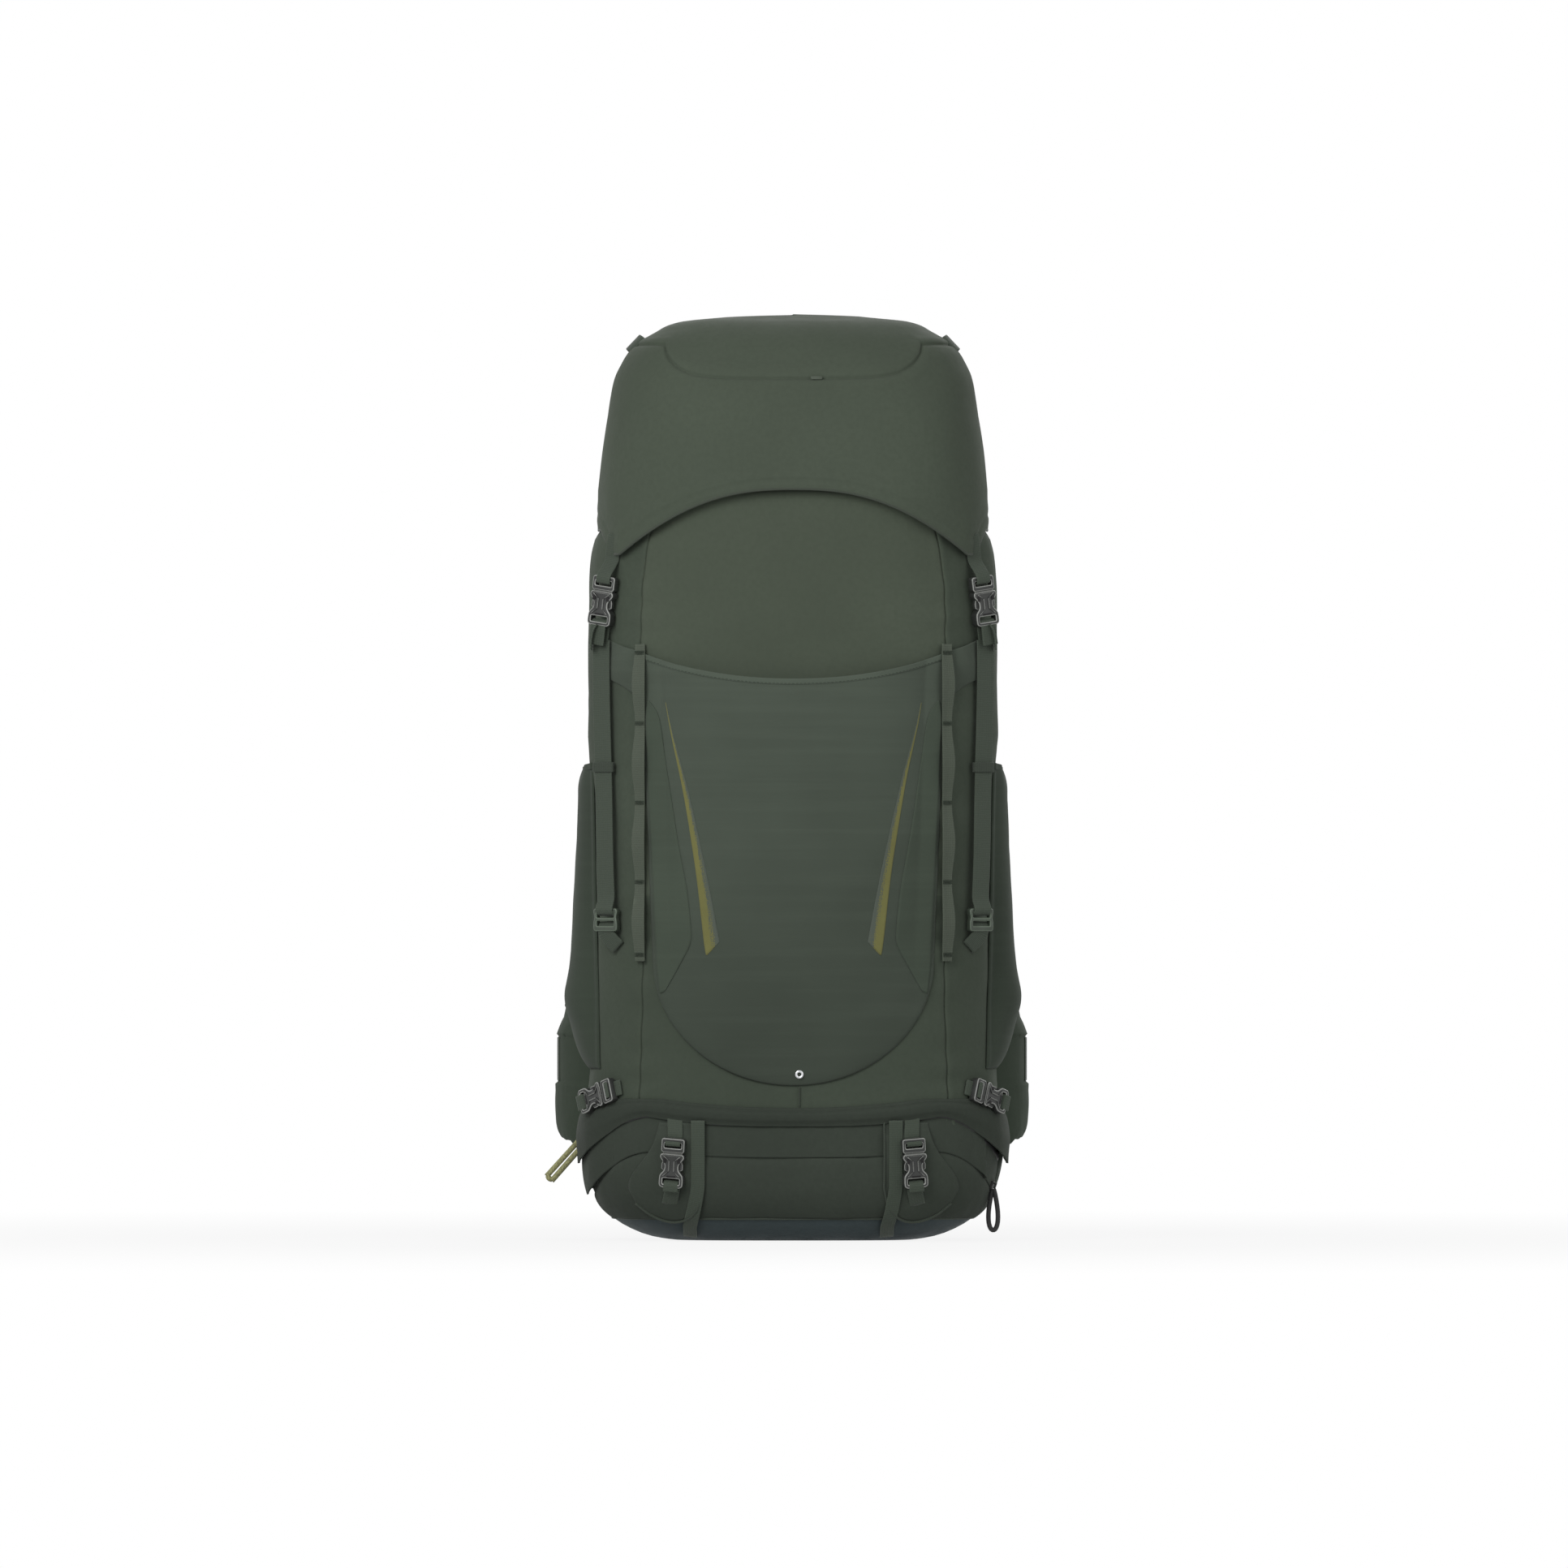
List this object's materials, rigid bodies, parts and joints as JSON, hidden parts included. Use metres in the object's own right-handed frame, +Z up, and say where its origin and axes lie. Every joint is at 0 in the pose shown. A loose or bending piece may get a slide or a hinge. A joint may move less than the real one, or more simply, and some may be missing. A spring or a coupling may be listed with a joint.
{
  "type": "hiking backpack",
  "caption": "Tall internal-frame hiking backpack with a hinged lid, stretch pockets, side and bottom compression straps, padded adjustable harness and hip belt.",
  "frame": {"origin": "middle of the flat underside of the base panel, on the ground", "axes": "+Z up towards the lid, -Y out of the front with the stretch pocket, +X to the right of someone looking at the front"},
  "size_m": [0.4236, 0.5128, 0.807],
  "materials": {
    "pack_fabric": "matt woven nylon",
    "base_fabric": "coated nylon",
    "lining": "plain lining",
    "lower_fabric": "matt woven nylon",
    "framesheet_plastic": "matt",
    "alloy": "satin",
    "stretch_fabric": "stretch woven",
    "webbing": "woven webbing",
    "buckle_plastic": "satin",
    "lid_fabric": "matt woven nylon",
    "padding": "spacer mesh over foam",
    "zip_metal": "dull",
    "yellow_cord": "braided cord",
    "black_cord": "braided cord"
  },
  "bodies": {
    "pack": {"base_panel": "base_fabric", "bag_shell": "pack_fabric", "divider": "lining", "lower_door": "lower_fabric", "framesheet": "framesheet_plastic", "frame_hoop": "alloy", "front_pocket": "stretch_fabric", "side_pocket_left": "stretch_fabric", "side_pocket_right": "stretch_fabric", "daisy_chain_left": "webbing", "daisy_chain_right": "webbing", "drain_grommet": "alloy", "lid_socket_left": "buckle_plastic", "lid_socket_right": "buckle_plastic", "side_strap_left": "webbing", "side_strap_right": "webbing", "side_ladder_left": "buckle_plastic", "side_ladder_right": "buckle_plastic", "compression_socket_left": "buckle_plastic", "compression_socket_right": "buckle_plastic", "pad_socket_left": "buckle_plastic", "pad_socket_right": "buckle_plastic", "pad_strap_left": "webbing", "pad_strap_right": "webbing", "back_pad": "padding", "lumbar_pad": "padding", "drawcord": "black_cord"},
    "lid": {"lid_shell": "lid_fabric", "lid_liner": "lining", "lid_loop_left": "webbing", "lid_loop_right": "webbing"},
    "lid_zip": {"lid_slider": "zip_metal"},
    "lid_clip_left": {"lid_plug_left": "buckle_plastic"},
    "lid_clip_right": {"lid_plug_right": "buckle_plastic"},
    "compression_clip_left": {"compression_plug_left": "buckle_plastic"},
    "compression_clip_right": {"compression_plug_right": "buckle_plastic"},
    "pad_clip_left": {"pad_plug_left": "buckle_plastic"},
    "pad_clip_right": {"pad_plug_right": "buckle_plastic"},
    "yoke": {"yoke": "lower_fabric", "shoulder_strap_left": "padding", "shoulder_strap_right": "padding", "waist_webbing_left": "webbing", "waist_webbing_right": "webbing"},
    "chest_strap": {"sternum_socket": "buckle_plastic", "sternum_strap_left": "webbing"},
    "chest_clip": {"sternum_plug": "buckle_plastic", "sternum_strap_right": "webbing"},
    "hip_left": {"hip_wing_left": "padding", "hip_strap_left": "webbing", "hip_socket": "buckle_plastic"},
    "hip_right": {"hip_wing_right": "padding", "hip_strap_right": "webbing", "hip_plug": "buckle_plastic"},
    "haul_handle": {"haul_loop": "webbing"},
    "tool_holder": {"tool_loop": "yellow_cord"},
    "door_zip": {"door_slider": "zip_metal"},
    "zip_pull": {"pull_loop": "black_cord"},
    "cord_lock": {"cord_lock_body": "buckle_plastic"},
    "cord_button": {"cord_lock_button": "buckle_plastic"}
  },
  "joints": [
    {"name": "lid_hinge", "type": "hinge", "parent": "pack", "child": "lid", "pos_m": [0, 0.1065, 0.668], "axis": [-1, 0, 0], "range_deg": [0, 100]},
    {"name": "lid_zip_slide", "type": "slide", "parent": "lid", "child": "lid_zip", "axis": [1, 0, 0], "range_m": [-0.04, 0.03]},
    {"name": "lid_release_left", "type": "slide", "parent": "lid", "child": "lid_clip_left", "axis": [0.118, -0.0737, 0.9903], "range_m": [0, 0.017]},
    {"name": "lid_release_right", "type": "slide", "parent": "lid", "child": "lid_clip_right", "axis": [-0.118, -0.0737, 0.9903], "range_m": [0, 0.017]},
    {"name": "compression_release_left", "type": "slide", "parent": "pack", "child": "compression_clip_left", "axis": [0.6147, -0.7326, 0.2924], "range_m": [0, 0.017]},
    {"name": "compression_release_right", "type": "slide", "parent": "pack", "child": "compression_clip_right", "axis": [-0.6147, -0.7326, 0.2924], "range_m": [0, 0.017]},
    {"name": "pad_release_left", "type": "slide", "parent": "pack", "child": "pad_clip_left", "axis": [0.0552, -0.1362, 0.9891], "range_m": [0, 0.017]},
    {"name": "pad_release_right", "type": "slide", "parent": "pack", "child": "pad_clip_right", "axis": [-0.0552, -0.1362, 0.9891], "range_m": [0, 0.017]},
    {"name": "torso_slide", "type": "slide", "parent": "pack", "child": "yoke", "axis": [0, 0, 1], "range_m": [0, 0.06]},
    {"name": "chest_height", "type": "slide", "parent": "yoke", "child": "chest_strap", "axis": [0, 0, 1], "range_m": [-0.03, 0.03]},
    {"name": "chest_release", "type": "slide", "parent": "chest_strap", "child": "chest_clip", "axis": [1, 0, 0], "range_m": [0, 0.017]},
    {"name": "hip_swing_left", "type": "hinge", "parent": "pack", "child": "hip_left", "pos_m": [-0.1168, 0.12, 0.086], "axis": [0, 0, 1], "range_deg": [-5, 20]},
    {"name": "hip_swing_right", "type": "hinge", "parent": "pack", "child": "hip_right", "pos_m": [0.1168, 0.12, 0.086], "axis": [0, 0, -1], "range_deg": [-5, 20]},
    {"name": "haul_swing", "type": "hinge", "parent": "pack", "child": "haul_handle", "pos_m": [0, 0.10517, 0.652], "axis": [1, 0, 0], "range_deg": [0, 80]},
    {"name": "tool_swing", "type": "hinge", "parent": "pack", "child": "tool_holder", "pos_m": [-0.1833, -0.03, 0.087], "axis": [0, 1, 0], "range_deg": [-7, 50]},
    {"name": "door_zip_slide", "type": "slide", "parent": "pack", "child": "door_zip", "axis": [0.32, -0.0685, 0.9449], "range_m": [0, 0.02]},
    {"name": "zip_pull_swing", "type": "hinge", "parent": "door_zip", "child": "zip_pull", "pos_m": [0.17766, -0.05969, 0.0445], "axis": [-0.2094, -0.9778, 0], "range_deg": [0, 60]},
    {"name": "cord_lock_slide", "type": "slide", "parent": "pack", "child": "cord_lock", "axis": [0, 0, -1], "range_m": [0, 0.01]},
    {"name": "cord_lock_press", "type": "slide", "parent": "cord_lock", "child": "cord_button", "axis": [0, 1, 0], "range_m": [0, 0.003], "stiffness_N_per_m": 150, "springref_m": -0.002}
  ]
}
